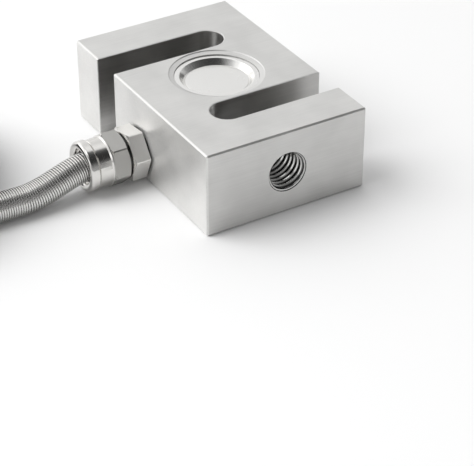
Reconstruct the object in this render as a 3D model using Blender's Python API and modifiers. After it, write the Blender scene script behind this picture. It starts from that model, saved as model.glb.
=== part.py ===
"""A strain gauge load cell: an S-shaped body with two gauge pockets, a cable gland and its cable.

Metres, +Z up. The origin is the middle of the body's bottom face. The slots run along X, the
load acts along Y through the two threaded bores, and the cable leaves on the -X side.
"""

import math

import bmesh
import bpy
from mathutils import Matrix, Vector

# Clearances
seat_gap = 0.0003  # between pieces that seat on or pass through each other
flat_gap = 0.0001  # between flat faces that are clamped together
floor_gap = 0.0001  # under what lies on the surface that the body stands on

# Body
body_width = 0.0508
body_length = 0.0762
body_thickness = 0.0254
body_chamfer = 0.0005

# Slots
slot_offset = 0.0195  # from the middle of the body to the middle of a slot
slot_width = 0.010
slot_end_wall = 0.0124
slot_chamfer = 0.0004

# Threaded load bores
bore_diameter = 0.0102
bore_mouth_diameter = 0.0124
bore_inner_chamfer = 0.0005

# Gauge pockets, one on each side of the web
web_thickness = 0.0025
cavity_radius = 0.0112
pocket_slope_depth = 0.0005
pocket_slope_width = 0.0014

# Pressed covers
cover_radius = 0.0121
cover_sheet = 0.0005
cover_recess = 0.0011
cover_dish_radius = 0.0107
cover_dish_depth = 0.0017
cover_groove_radius = 0.00935
cover_disc_radius = 0.0090
cover_disc_rise = 0.0004
cover_bend_radius = 0.0003

# Strain gauges and what is wired to them
gauge_length = 0.0052
gauge_width = 0.0036
gauge_backing = 0.0001
gauge_grid_rise = 0.0001
gauge_margin = 0.0004
gauge_tab_end = 0.0008  # from the middle of the gauge to the end of its grid
gauge_spacing = 0.0066
gauge_lean = math.radians(45)
board_length = 0.0110
board_width = 0.0040
board_thickness = 0.0008
board_offset = 0.0068
pad_width = 0.0012
pad_rise = 0.0003
pad_columns = 5
pad_pitch = 0.0021
pad_row_pitch = 0.0020
resistor_length = 0.0032
resistor_width = 0.0016
resistor_height = 0.0006
resistor_spacing = 0.0050
resistor_edge = 0.00012
wire_hole_diameter = 0.0028
wire_hole_offset = 0.0090
link_wire_diameter = 0.0005
link_wire_count = 4
lead_diameter = 0.0004
wire_drop = 0.0007  # the straight end of a wire above its pad
wire_step = 0.0015
link_wire_pitch = 0.00075  # between the link wires where they cross above the board

# Cable
cable_diameter = 0.0050
core_diameter = 0.0009
core_spacing = 0.00100
core_straight = 0.0015
core_lane_rise = 0.0013  # between the cores where they cross inside the pocket
core_colours = {
    "red": (0.55, 0.02, 0.02),
    "black": (0.02, 0.02, 0.02),
    "green": (0.02, 0.30, 0.08),
    "white": (0.80, 0.80, 0.78),
}
sheath_into_pocket = 0.0006

# Cable gland
gland_height = 0.0079
gland_hex_flats = 0.0140
gland_hex_turn = math.radians(53)
gland_hex_chamfer_angle = math.radians(30)
thread_chamfer = 0.0005
gland_stub_diameter = 0.0120
gland_stub_length = 0.0064
gland_hex_length = 0.0050
gland_neck_diameter = 0.0112
gland_neck_length = 0.0060
gasket_thickness = 0.0004
cable_way_diameter = 0.0060

# Dome nut
nut_gap = 0.0007  # between the two hexagons
nut_hex_length = 0.0054
nut_hex_turn = math.radians(16.5)
nut_collar_length = 0.0044
nut_collar_diameter = 0.0140
nut_ring_length = 0.0028
nut_ring_diameter = 0.0148
nut_ring_round = 0.0012
nut_groove = 0.0004
nut_lip_length = 0.0011
nut_mouth_depth = 0.0016  # from the rounded rim down to where the hole widens
guard_clearance = 0.0004  # between the guard and the hole in the nut

# Seal in the gland
bush_length = 0.0049
bush_wall = 0.0015
bush_taper = 0.0005
washer_thickness = 0.0005

# Spring guard
guard_diameter = 0.0084
guard_wire_diameter = 0.0009
guard_pitch = 0.0010
guard_length = 0.0370
guard_bend_start = 0.0155  # out from the face, where the guard starts to sag
guard_bend_length = 0.0220
guard_aside = 0.0020  # how far it leans to -Y over its bend
guard_steps = 8  # to a turn of its wire

# The cable's way from the gland to the coil
lead_shares = (0, 0.33, 0.66, 1)  # points along the guard that the cable passes
lead_end_rise = 0.0012  # above the floor, where it meets the coil
lead_end_aside = 0.0024  # to -Y, where it meets the coil

# Coil of cable and its strap
coil_radius = 0.0300  # to the middle of its bundle of turns
coil_layers = 4
coil_centre_x = -0.1040
coil_aside = 0.0030  # how far the outermost turn reaches to -Y
strap_thickness = 0.0008
strap_width = 0.0090
strap_angle = math.radians(8)

# Free end of the cable
tail_angle = math.radians(-40)  # where the cable leaves the coil
tail_route = [  # from there: distance along, distance to the right, height
    (0.0210, 0, 0.0155),
    (0.0290, 0.0006, 0.0108),
    (0.0370, 0.0026, 0.0060),
    (0.0450, 0.0064, 0.0032),
    (0.0520, 0.0115, 0.0026),
]
core_free_length = 0.0240
core_fan = 0.0030  # how far apart the ends of the free cores are
core_fan_start = 0.1  # share of the fan reached where the cores leave the sheath
core_fan_shares = (0.45, 0.75, 1)  # points along a free core that lie on the floor

# Worked out from the sizes above
half_width = body_width / 2
half_length = body_length / 2
mid_height = body_thickness / 2
slot_radius = slot_width / 2
cavity_depth = (body_thickness - web_thickness) / 2
cover_seat_radius = cover_radius + seat_gap
cover_seat_depth = cover_recess + cover_sheet + seat_gap
pocket_mouth_radius = cover_seat_radius + pocket_slope_width
cable_radius = cable_diameter / 2
sheath_end_x = sheath_into_pocket - cavity_radius
gland_stub_hole_depth = gland_stub_length + seat_gap
hex_start = gasket_thickness + 2 * flat_gap
hex_end = hex_start + gland_hex_length
neck_end = hex_end + gland_neck_length
nut_start = hex_end + nut_gap
nut_hex_end = nut_start + nut_hex_length
nut_collar_end = nut_hex_end + nut_collar_length
nut_end = nut_collar_end + nut_ring_length
bush_inner_radius = cable_radius + seat_gap
bush_outer_radius = bush_inner_radius + bush_wall
bush_seat_radius = bush_outer_radius + seat_gap
bush_start = neck_end + seat_gap - bush_length
bush_end = bush_start + bush_length
washer_start = bush_end + seat_gap
washer_end = washer_start + washer_thickness
nut_shoulder = washer_end + seat_gap
nut_lip_end = nut_shoulder + nut_lip_length
nut_bore_radius = gland_neck_diameter / 2 + seat_gap
guard_radius = guard_diameter / 2
guard_start = nut_lip_end + seat_gap
guard_rest_height = guard_radius + floor_gap
free_cable_start = nut_lip_end
coil_size = coil_layers * cable_diameter
coil_bottom = floor_gap + strap_thickness + seat_gap
coil_outer_radius = coil_radius + coil_size / 2
coil_centre_y = coil_outer_radius - cable_radius - coil_aside
over = 0.001  # how far a cutter stands past the face that it cuts


def clear_scene():
    for old in list(bpy.data.objects):
        bpy.data.objects.remove(old)


def material(name, colour, roughness, metallic):
    made = bpy.data.materials.new(name)
    made.use_nodes = True
    shader = made.node_tree.nodes["Principled BSDF"]
    shader.inputs["Base Color"].default_value = (*colour, 1)
    shader.inputs["Roughness"].default_value = roughness
    shader.inputs["Metallic"].default_value = metallic
    made.diffuse_color = (*colour, 1)
    return made


def add(name, data, finish=None, at=(0, 0, 0), turn=(0, 0, 0)):
    made = bpy.data.objects.new(name, data)
    made.location = at
    made.rotation_euler = turn
    if finish is None:
        cutters.objects.link(made)
        made.hide_render = True
        made.display_type = "WIRE"
    else:
        parts.objects.link(made)
        data.materials.append(finish)
    return made


def block(name, low, high, finish=None, at=(0, 0, 0), turn=(0, 0, 0)):
    """A rectangular block between two corners."""
    mesh = bpy.data.meshes.new(name)
    shape = bmesh.new()
    bmesh.ops.create_cube(shape, size=1)
    size = [b - a for a, b in zip(low, high)]
    middle = [(a + b) / 2 for a, b in zip(low, high)]
    bmesh.ops.scale(shape, vec=size, verts=shape.verts)
    bmesh.ops.translate(shape, vec=middle, verts=shape.verts)
    shape.to_mesh(mesh)
    shape.free()
    return add(name, mesh, finish, at, turn)


def rod(name, radius, low, high, finish=None, at=(0, 0, 0), turn=(0, 0, 0), sides=32, phase=0):
    """A round or many-sided bar along its own Z, from low to high."""
    mesh = bpy.data.meshes.new(name)
    shape = bmesh.new()
    bmesh.ops.create_cone(
        shape, cap_ends=True, segments=sides, radius1=radius, radius2=radius, depth=high - low
    )
    bmesh.ops.translate(shape, vec=(0, 0, (low + high) / 2), verts=shape.verts)
    bmesh.ops.rotate(shape, matrix=Matrix.Rotation(phase, 3, "Z"), verts=shape.verts)
    shape.to_mesh(mesh)
    shape.free()
    return add(name, mesh, finish, at, turn)


def turned(name, profile, finish=None, at=(0, 0, 0), turn=(0, 0, 0), sides=40, closed=False):
    """A turned shape: profile is (radius, height) points, down the outer side."""
    mesh = bpy.data.meshes.new(name)
    edges = [(i, i + 1) for i in range(len(profile) - 1)]
    if closed:
        edges.append((len(profile) - 1, 0))
    mesh.from_pydata([(radius, 0, height) for radius, height in profile], edges, [])
    made = add(name, mesh, finish, at, turn)
    screw = made.modifiers.new("Turn", "SCREW")
    screw.steps = sides
    screw.render_steps = sides
    screw.use_merge_vertices = True
    screw.merge_threshold = 0.00001
    screw.use_smooth_shade = True
    return made


def boolean(target, other, operation="DIFFERENCE"):
    step = target.modifiers.new(other.name, "BOOLEAN")
    step.operation = operation
    step.object = other
    step.solver = "EXACT"


def arc(centre, radius, start, end, steps):
    angles = [math.radians(start + (end - start) * i / steps) for i in range(steps + 1)]
    return [
        (centre[0] + radius * math.cos(a), centre[1] + radius * math.sin(a)) for a in angles
    ]


def rounded(points, radius, steps=1):
    """The line again, with each inner corner as an arc of that radius."""
    line = [Vector(p) for p in points]
    out = [tuple(line[0])]
    for before, corner, after in zip(line, line[1:], line[2:]):
        to_before = (before - corner).normalized()
        to_after = (after - corner).normalized()
        half = to_before.angle(to_after) / 2
        reach = radius / math.tan(half)
        centre = corner + (to_before + to_after).normalized() * radius / math.sin(half)
        first = corner + to_before * reach - centre
        last = corner + to_after * reach - centre
        swing = first.angle_signed(last)
        for i in range(steps + 1):
            a = -swing * i / steps
            x = first.x * math.cos(a) - first.y * math.sin(a)
            y = first.x * math.sin(a) + first.y * math.cos(a)
            out.append((centre.x + x, centre.y + y))
    out.append(tuple(line[-1]))
    return out


def smooth_line(points, spacing):
    """Points about spacing apart on a smooth curve through the given ones."""
    knots = [Vector(p) for p in points]
    knots = [2 * knots[0] - knots[1], *knots, 2 * knots[-1] - knots[-2]]
    out = []
    for p0, p1, p2, p3 in zip(knots, knots[1:], knots[2:], knots[3:]):
        count = max(1, round((p2 - p1).length / spacing))
        for i in range(count):
            t = i / count
            out.append(
                0.5
                * (
                    2 * p1
                    + (p2 - p0) * t
                    + (2 * p0 - 5 * p1 + 4 * p2 - p3) * t**2
                    + (3 * p1 - p0 - 3 * p2 + p3) * t**3
                )
            )
    out.append(knots[-2])
    return out


def tube(name, line, diameter, finish, resolution=2):
    data = bpy.data.curves.new(name, "CURVE")
    data.dimensions = "3D"
    data.bevel_depth = diameter / 2
    data.bevel_resolution = resolution
    data.use_fill_caps = True
    spline = data.splines.new("POLY")
    spline.points.add(len(line) - 1)
    for point, place in zip(spline.points, line):
        point.co = (*place, 1)
    return add(name, data, finish)


def slot_outline(grow):
    """A slot that is open on +X, with its walls moved out by grow."""
    end_centre = slot_end_wall - half_width + slot_radius
    half = slot_radius + grow
    outline = arc((end_centre, 0), half, 90, 270, 12)
    outline.append((half_width - slot_chamfer, -half))
    outline.append((half_width + over, -half - slot_chamfer - over))
    outline.append((half_width + over, half + slot_chamfer + over))
    outline.append((half_width - slot_chamfer, half))
    return outline


def slot_cutter(name, side):
    """A slot through the body, with its edges broken on both faces; side is -1 at the front."""
    flare = slot_chamfer + over
    levels = [
        (-over, flare),
        (slot_chamfer, 0),
        (body_thickness - slot_chamfer, 0),
        (body_thickness + over, flare),
    ]
    shape = bmesh.new()
    rings = [
        [shape.verts.new((x, y, height)) for x, y in slot_outline(grow)]
        for height, grow in levels
    ]
    for low, high in zip(rings, rings[1:]):
        count = len(low)
        for i in range(count):
            j = (i + 1) % count
            shape.faces.new((low[i], low[j], high[j], high[i]))
    shape.faces.new(reversed(rings[0]))
    shape.faces.new(rings[-1])
    mesh = bpy.data.meshes.new(name)
    shape.to_mesh(mesh)
    shape.free()
    turn = 0 if side < 0 else math.pi
    return add(name, mesh, at=(0, side * slot_offset, 0), turn=(0, 0, turn))


def bore_cutter(name, side):
    """A load bore from an end face into its slot, with both mouths broken."""
    radius = bore_diameter / 2
    mouth = bore_mouth_diameter / 2
    bar = half_length - slot_offset - slot_radius
    profile = [
        (0, over),
        (mouth + over, over),
        (radius, radius - mouth),
        (radius, bore_inner_chamfer - bar),
        (radius + 2 * bore_inner_chamfer, -bore_inner_chamfer - bar),
        (0, -bore_inner_chamfer - bar),
    ]
    at = (0, side * half_length, mid_height)
    return turned(name, profile, at=at, turn=(-side * math.pi / 2, 0, 0), sides=28)


def pocket_cutter(name, upper):
    slope = pocket_slope_width / pocket_slope_depth
    profile = [
        (0, over),
        (pocket_mouth_radius + over * slope, over),
        (cover_seat_radius, -pocket_slope_depth),
        (cover_seat_radius, -cover_seat_depth),
        (cavity_radius, -cover_seat_depth),
        (cavity_radius, -cavity_depth),
        (0, -cavity_depth),
    ]
    at = (0, 0, body_thickness if upper else 0)
    return turned(name, profile, at=at, turn=(0 if upper else math.pi, 0, 0), sides=40)


def gland_place():
    """Where a gland piece goes: its own Z is the distance out from the -X face."""
    return {"at": (-half_width, 0, gland_height), "turn": (0, -math.pi / 2, 0)}


def make_body():
    low = (-half_width, -half_length, 0)
    high = (half_width, half_length, body_thickness)
    body = block("s_body", low, high, steel)
    bevel = body.modifiers.new("Edges", "BEVEL")
    bevel.width = body_chamfer
    bevel.segments = 1
    boolean(body, slot_cutter("cut_slot_front", -1))
    boolean(body, slot_cutter("cut_slot_rear", 1))
    boolean(body, bore_cutter("cut_bore_front", -1))
    boolean(body, bore_cutter("cut_bore_rear", 1))
    boolean(body, pocket_cutter("cut_pocket_upper", True))
    boolean(body, pocket_cutter("cut_pocket_lower", False))
    stub = gland_stub_diameter / 2 + seat_gap
    boolean(body, rod("cut_gland_seat", stub, -gland_stub_hole_depth, over, **gland_place()))
    way = cable_way_diameter / 2
    inner = cavity_radius * math.cos(math.asin(way / cavity_radius)) - over
    boolean(body, rod("cut_cable_way", way, inner - half_width, 0, sides=24, **gland_place()))
    hole = wire_hole_diameter / 2
    at = (wire_hole_offset, 0, mid_height)
    boolean(body, rod("cut_wire_hole", hole, -web_thickness, web_thickness, at=at, sides=16))


def make_cover(name, upper):
    """A cover pressed from sheet: a flange, a dish with a sloping wall, and a raised disc."""
    groove_floor = -cover_recess - cover_dish_depth
    disc_top = groove_floor + cover_disc_rise
    line = [
        (0, disc_top),
        (cover_disc_radius, disc_top),
        (cover_groove_radius, groove_floor),
        (cover_dish_radius, -cover_recess),
        (cover_radius, -cover_recess),
    ]
    at = (0, 0, body_thickness if upper else 0)
    turn = (0 if upper else math.pi, 0, 0)
    cover = turned(name, rounded(line, cover_bend_radius), pressed, at, turn, sides=32)
    solid = cover.modifiers.new("Sheet", "SOLIDIFY")
    solid.thickness = cover_sheet
    solid.offset = -1
    solid.use_even_offset = True


def web_place(upper):
    """The middle of the web's face on one side, and the turn that makes its normal a piece's own Z."""
    height = mid_height + (web_thickness / 2 if upper else -web_thickness / 2)
    return {"at": (0, 0, height), "turn": (0 if upper else math.pi, 0, 0)}


def on_web(upper, x, y, height):
    """The world place of a point that is height off the web's face, on one side."""
    face = web_place(upper)["at"][2]
    return (x, y, face + height if upper else face - height)


def gauge_turn(side):
    """A gauge's turn on the web: 45 degrees one way or the other, with its tabs towards the board."""
    return side * gauge_lean - math.pi / 2


def make_gauge(name, upper, side):
    """A foil gauge bonded on the web at 45 degrees: a backing with a raised grid and two tabs."""
    at = (side * gauge_spacing / 2, 0, web_place(upper)["at"][2])
    turn = (web_place(upper)["turn"][0], 0, gauge_turn(side))
    low = (-gauge_length / 2, -gauge_width / 2, seat_gap)
    high = (gauge_length / 2, gauge_width / 2, seat_gap + gauge_backing)
    gauge = block(name, low, high, foil_backing, at, turn)
    half_wide = gauge_width / 2 - gauge_margin
    inside = seat_gap + gauge_backing / 2
    top = seat_gap + gauge_backing + gauge_grid_rise
    ends = {
        "grid": (-gauge_tab_end, gauge_length / 2 - gauge_margin),
        "tabs": (gauge_margin - gauge_length / 2, -gauge_tab_end - gauge_margin),
    }
    for part, (start, end) in ends.items():
        raised = block(
            f"{name}_{part}", (start, -half_wide, inside), (end, half_wide, top), None, at, turn
        )
        boolean(gauge, raised, "UNION")


def pad_place(column, row):
    """Where a pad of a terminal board is: columns run along X, and row 0 is nearer the middle."""
    x = (column - (pad_columns - 1) / 2) * pad_pitch
    return x, board_offset + (row - 0.5) * pad_row_pitch


def make_board(name, upper):
    """A terminal board bonded beside the gauges, with two rows of solder pads."""
    top = seat_gap + board_thickness
    face = web_place(upper)
    turn_y = 1 if upper else -1
    low = (-board_length / 2, turn_y * board_offset - board_width / 2, seat_gap)
    high = (board_length / 2, turn_y * board_offset + board_width / 2, top)
    board = block(name, low, high, board_green, **face)
    x, y = pad_place(0, 0)
    low = (x - pad_width / 2, turn_y * y - pad_width / 2, top - pad_rise)
    high = (x + pad_width / 2, turn_y * y + pad_width / 2, top + pad_rise)
    pads = block(f"{name}_pads", low, high, **face)
    for count, step in ((pad_columns, (pad_pitch, 0, 0)), (2, (0, turn_y * pad_row_pitch, 0))):
        array = pads.modifiers.new("Pads", "ARRAY")
        array.count = count
        array.use_relative_offset = False
        array.use_constant_offset = True
        array.constant_offset_displace = step
    boolean(board, pads, "UNION")


def make_resistor(name, side):
    """A compensation resistor bonded on the lower side of the web."""
    x = side * resistor_spacing / 2
    low = (x - resistor_length / 2, board_offset - resistor_width / 2, seat_gap)
    high = (x + resistor_length / 2, board_offset + resistor_width / 2, seat_gap + resistor_height)
    chip = block(name, low, high, resistor_body, **web_place(False))
    bevel = chip.modifiers.new("Edges", "BEVEL")
    bevel.width = resistor_edge
    bevel.segments = 1


def pad_top():
    return seat_gap + board_thickness + pad_rise


def wire_onto_pad(upper, column, row):
    """The last points of a wire that comes down onto a pad."""
    x, y = pad_place(column, row)
    end = pad_top() + seat_gap
    return [on_web(upper, x, y, end + wire_drop), on_web(upper, x, y, end)]


def make_gauge_lead(name, upper, side):
    """The sleeved pair of fine wires from a gauge's tabs to its pad."""
    reach = gauge_length / 2 - gauge_margin * 2
    x = side * gauge_spacing / 2 - reach * math.cos(gauge_turn(side))
    y = -reach * math.sin(gauge_turn(side))
    top = seat_gap * 2 + gauge_backing + gauge_grid_rise
    start = [on_web(upper, x, y, top), on_web(upper, x, y, top + wire_drop)]
    line = start + wire_onto_pad(upper, pad_columns // 2, 0 if side < 0 else 1)
    tube(name, smooth_line(line, wire_step), lead_diameter, lead_sleeve, resolution=1)


def make_link_wire(name, number):
    """A wire from the upper terminal board, through the hole in the web, to the lower one."""
    across = link_wire_diameter / 2 + flat_gap
    x = wire_hole_offset + (across if number % 2 else -across)
    y = across if number < 2 else -across
    column = pad_columns - 1 - number // 2
    row = 1 - number % 2
    lane = pad_top() + wire_drop + number * link_wire_pitch
    half = web_thickness / 2
    line = wire_onto_pad(True, column, row)[::-1]
    line.append((x, y, mid_height + half + lane))
    line.append((x, y, mid_height + half))
    line.append((x, y, mid_height - half))
    line.append((x, y, mid_height - half - lane))
    line += wire_onto_pad(False, column, row)
    tube(name, smooth_line(line, wire_step), link_wire_diameter, link_enamel, resolution=1)


def make_inner_core(name, number, finish):
    """A core of the cable, from the end of its sheath to a pad on the lower terminal board."""
    x = sheath_end_x + seat_gap
    lane = number - (len(core_colours) - 1) / 2
    z = gland_height + lane * core_spacing
    row, column = divmod(len(core_colours) - 1 - number, 2)
    pad_x, pad_y = pad_place(column, row)
    end = web_place(False)["at"][2] - pad_top() - seat_gap
    line = [
        (x, 0, z),
        (x + core_straight, 0, z),
        ((x + pad_x) / 2, pad_y / 2, gland_height + lane * core_lane_rise),
        (pad_x, pad_y, end - wire_drop - row * core_lane_rise),
        (pad_x, pad_y, end),
    ]
    tube(name, smooth_line(line, wire_step), core_diameter, finish, resolution=1)


def hexagon(name, low, high, turn, chamfer_low):
    """A hexagonal bar whose corners are turned off at 30 degrees, at its top and as told below."""
    corner = gland_hex_flats / math.sqrt(3)
    bar = rod(name, corner, low, high, sides=6, phase=-turn, **gland_place())
    drop = (corner + over - gland_hex_flats / 2) * math.tan(gland_hex_chamfer_angle)
    profile = [(0, high), (gland_hex_flats / 2, high), (corner + over, high - drop)]
    if chamfer_low:
        profile += [(corner + over, low + drop), (gland_hex_flats / 2, low), (0, low)]
    else:
        profile += [(corner + over, low - over), (0, low - over)]
    boolean(bar, turned(f"{name}_corners", profile, sides=36, **gland_place()), "INTERSECT")
    return bar


def make_gasket():
    inner = gland_stub_diameter / 2 + seat_gap
    outer = gland_hex_flats / 2 - flat_gap
    low = flat_gap
    high = flat_gap + gasket_thickness
    profile = [(outer, high), (outer, low), (inner, low), (inner, high)]
    turned("gland_gasket", profile, dark_rubber, closed=True, sides=24, **gland_place())


def make_gland_body():
    """The gland's lower part: a threaded stub, a hexagon and the neck that the nut screws on."""
    neck = gland_neck_diameter / 2
    stub = gland_stub_diameter / 2
    middle = (hex_start + hex_end) / 2
    profile = [
        (0, neck_end),
        (neck - thread_chamfer, neck_end),
        (neck, neck_end - thread_chamfer),
        (neck, middle),
        (stub, middle),
        (stub, thread_chamfer - gland_stub_length),
        (stub - thread_chamfer, -gland_stub_length),
        (0, -gland_stub_length),
    ]
    body = turned("gland_body", profile, nickel, sides=32, **gland_place())
    boolean(body, hexagon("gland_hexagon", hex_start, hex_end, gland_hex_turn, False), "UNION")
    way = cable_way_diameter / 2
    seat = bush_start - seat_gap
    inside = [
        (0, neck_end + over),
        (bush_seat_radius, neck_end + over),
        (bush_seat_radius, seat),
        (way, seat),
        (way, -gland_stub_length - over),
        (0, -gland_stub_length - over),
    ]
    boolean(body, turned("cut_gland_bore", inside, sides=24, **gland_place()))


def make_gland_nut():
    """The dome nut: a hexagon, a round collar and an end ring with a rounded rim, round the guard."""
    ring = nut_ring_diameter / 2
    collar = nut_collar_diameter / 2
    core = (nut_bore_radius + collar) / 2
    middle = (nut_start + nut_hex_end) / 2
    rim = (ring - nut_ring_round, nut_end - nut_ring_round)
    mouth = nut_end - nut_mouth_depth
    profile = [(0, mouth), (ring - 2 * nut_ring_round, mouth)]
    profile += arc(rim, nut_ring_round, 180, 0, 8)
    profile += [
        (ring, nut_collar_end + nut_groove / 2),
        (collar - nut_groove / 2, nut_collar_end),
        (collar, nut_collar_end - nut_groove),
        (collar, nut_hex_end - nut_groove),
        (core, nut_hex_end - nut_groove),
        (core, nut_start),
        (0, nut_start),
    ]
    nut = turned("gland_nut", profile, nickel, sides=32, **gland_place())
    boolean(nut, hexagon("nut_hexagon", nut_start, nut_hex_end, nut_hex_turn, True), "UNION")
    hole = guard_radius + guard_clearance
    lip = cable_radius + seat_gap
    inside = [
        (0, mouth + over),
        (hole, mouth + over),
        (hole, nut_lip_end),
        (lip, nut_lip_end),
        (lip, nut_shoulder),
        (nut_bore_radius, nut_shoulder),
        (nut_bore_radius, nut_start - over),
        (0, nut_start - over),
    ]
    boolean(nut, turned("cut_nut_bore", inside, sides=24, **gland_place()))


def make_seal():
    """The rubber bush that grips the cable, and the washer that the nut presses it with."""
    profile = [
        (bush_outer_radius - bush_taper, bush_end),
        (bush_outer_radius, bush_end - bush_taper),
        (bush_outer_radius, bush_start),
        (bush_inner_radius, bush_start),
        (bush_inner_radius, bush_end),
    ]
    turned("seal_bush", profile, dark_rubber, closed=True, sides=20, **gland_place())
    outer = nut_bore_radius - seat_gap
    profile = [
        (outer, washer_end),
        (outer, washer_start),
        (bush_inner_radius, washer_start),
        (bush_inner_radius, washer_end),
    ]
    turned("thrust_washer", profile, nickel, closed=True, sides=20, **gland_place())


def guard_centre(out):
    """The middle of the spring guard, at a distance out from the -X face: it sags to rest."""
    t = (out - guard_bend_start) / guard_bend_length
    t = min(1, max(0, t))
    share = t * t * (3 - 2 * t)
    drop = (gland_height - guard_rest_height) * share
    return Vector((-half_width - out, -guard_aside * share, gland_height - drop))


def make_guard():
    """The spring guard: round wire, close wound, in an open coil along the cable's first stretch."""
    wire = guard_wire_diameter / 2
    across = guard_radius - wire
    turns = int((guard_length - 2 * wire) / guard_pitch)
    line = []
    for i in range(turns * guard_steps + 1):
        angle = 2 * math.pi * i / guard_steps
        out = guard_start + wire + guard_pitch * i / guard_steps
        middle = guard_centre(out)
        along = (guard_centre(out + guard_pitch / 2) - guard_centre(out - guard_pitch / 2)).normalized()
        up = along.cross(Vector((0, 1, 0))).normalized()
        side = up.cross(along)
        line.append(middle + across * (math.cos(angle) * side + math.sin(angle) * up))
    tube("spring_guard", line, guard_wire_diameter, nickel, resolution=1)


def at_coil(angle, radius, height):
    """The world place of a point given by its angle round the coil and its distance from its middle."""
    return (
        coil_centre_x + radius * math.cos(angle),
        coil_centre_y + radius * math.sin(angle),
        height,
    )


def make_cable():
    """The cable: its stretch in the gland, its lead to the coil, the coil, and its free end."""
    start = sheath_end_x + half_width
    rod("cable_entry", cable_radius, -start, free_cable_start, pvc, sides=12, **gland_place())
    guard_end = guard_start + guard_length
    route = [guard_centre(free_cable_start + seat_gap)]
    route += [guard_centre(nut_end + (guard_end - nut_end) * share) for share in lead_shares]
    away = coil_centre_y + lead_end_aside - cable_radius
    reach = math.sqrt((coil_outer_radius + seat_gap) ** 2 - away**2)
    low = cable_radius + floor_gap
    route.append((coil_centre_x + reach, -lead_end_aside, low + lead_end_rise))
    tube("cable_lead", smooth_line(route, 2 * cable_diameter), cable_diameter, pvc)
    edge = cable_radius
    inner = coil_radius - coil_size / 2
    top = coil_bottom + coil_size
    profile = arc((coil_outer_radius - edge, top - edge), edge, 90, 0, 2)
    profile += arc((coil_outer_radius - edge, coil_bottom + edge), edge, 0, -90, 2)
    profile += arc((inner + edge, coil_bottom + edge), edge, 270, 180, 2)
    profile += arc((inner + edge, top - edge), edge, 180, 90, 2)
    at = (coil_centre_x, coil_centre_y, 0)
    turned("cable_coil", profile, pvc, at, closed=True, sides=32)
    leave = Vector(at_coil(tail_angle, coil_outer_radius - cable_radius, 0))
    ahead = Vector((math.sin(tail_angle), -math.cos(tail_angle), 0))
    right = Vector((ahead.y, -ahead.x, 0))
    route = []
    for along, aside, height in tail_route:
        route.append(leave + ahead * along + right * aside + Vector((0, 0, height)))
    line = smooth_line(route, 2 * cable_diameter)
    tube("cable_tail", line, cable_diameter, pvc)
    return line


def make_free_wires(sheath_line):
    """The bared end of the cable: its cores and the shield's drain wire, fanned out."""
    end = Vector(sheath_line[-1])
    ahead = (end - Vector(sheath_line[-2])).normalized()
    ahead.z = 0
    side = ahead.cross(Vector((0, 0, 1)))
    names = ["core_end_red", "core_end_black", "drain_wire", "core_end_green", "core_end_white"]
    finishes = [*core_finishes[:2], tinned, *core_finishes[2:]]
    rest = core_diameter / 2 + floor_gap
    for number, (name, finish) in enumerate(zip(names, finishes)):
        lane = (number - 2) * core_spacing
        spread = (number - 2) * core_fan
        line = [
            end + ahead * seat_gap + side * lane,
            end + ahead * (seat_gap + core_straight) + side * (lane + spread * core_fan_start),
        ]
        for share in core_fan_shares:
            place = end + ahead * core_free_length * share + side * (lane + spread * share)
            place.z = rest
            line.append(place)
        tube(name, smooth_line(line, wire_step * 2), core_diameter, finish, resolution=1)


def strap_loop(data, inner, outer, half_high, corner):
    """One rounded loop round the bundle of turns; x runs out from the middle of the coil."""
    points = arc((outer - corner, half_high - corner), corner, 90, 0, 2)
    points += arc((outer - corner, corner - half_high), corner, 0, -90, 2)
    points += arc((corner - inner, corner - half_high), corner, 270, 180, 2)
    points += arc((corner - inner, half_high - corner), corner, 180, 90, 2)
    spline = data.splines.new("POLY")
    spline.points.add(len(points) - 1)
    spline.use_cyclic_u = True
    for point, (x, y) in zip(spline.points, points):
        point.co = (x, y, 0, 1)


def make_strap():
    """The strap that holds the coil's turns together."""
    half = coil_size / 2 + seat_gap
    inner_radius = coil_radius - coil_size / 2
    sag = inner_radius - math.sqrt(inner_radius**2 - (strap_width / 2) ** 2)
    corner = cable_radius + seat_gap
    data = bpy.data.curves.new("coil_strap", "CURVE")
    data.dimensions = "2D"
    data.fill_mode = "BOTH"
    data.extrude = strap_width / 2
    strap_loop(data, half + sag, half, half, corner)
    grown = half + strap_thickness
    strap_loop(data, grown + sag, grown, grown, corner + strap_thickness)
    at = at_coil(strap_angle, coil_radius, coil_bottom + coil_size / 2)
    add("coil_strap", data, strap_cloth, at, (math.pi / 2, 0, strap_angle))


clear_scene()
parts = bpy.data.collections.new("strain_gauge_load_cell")
cutters = bpy.data.collections.new("cutters")
bpy.context.scene.collection.children.link(parts)
bpy.context.scene.collection.children.link(cutters)

steel = material("satin_steel", (0.62, 0.62, 0.62), 0.34, 1.0)
pressed = material("pressed_steel", (0.72, 0.72, 0.72), 0.28, 1.0)
nickel = material("nickel_plate", (0.66, 0.65, 0.62), 0.2, 1.0)
tinned = material("tinned_copper", (0.6, 0.58, 0.55), 0.35, 1.0)
foil_backing = material("gauge_backing", (0.55, 0.33, 0.08), 0.4, 0.0)
board_green = material("board_green", (0.02, 0.18, 0.06), 0.4, 0.0)
resistor_body = material("resistor_body", (0.03, 0.03, 0.03), 0.5, 0.0)
lead_sleeve = material("lead_sleeve", (0.75, 0.72, 0.62), 0.5, 0.0)
link_enamel = material("link_enamel", (0.35, 0.09, 0.03), 0.3, 0.0)
dark_rubber = material("dark_rubber", (0.02, 0.02, 0.02), 0.7, 0.0)
pvc = material("cable_sheath", (0.05, 0.05, 0.05), 0.5, 0.0)
strap_cloth = material("strap_cloth", (0.02, 0.02, 0.02), 0.9, 0.0)
core_finishes = [
    material(f"core_{colour}", value, 0.45, 0.0) for colour, value in core_colours.items()
]

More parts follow.
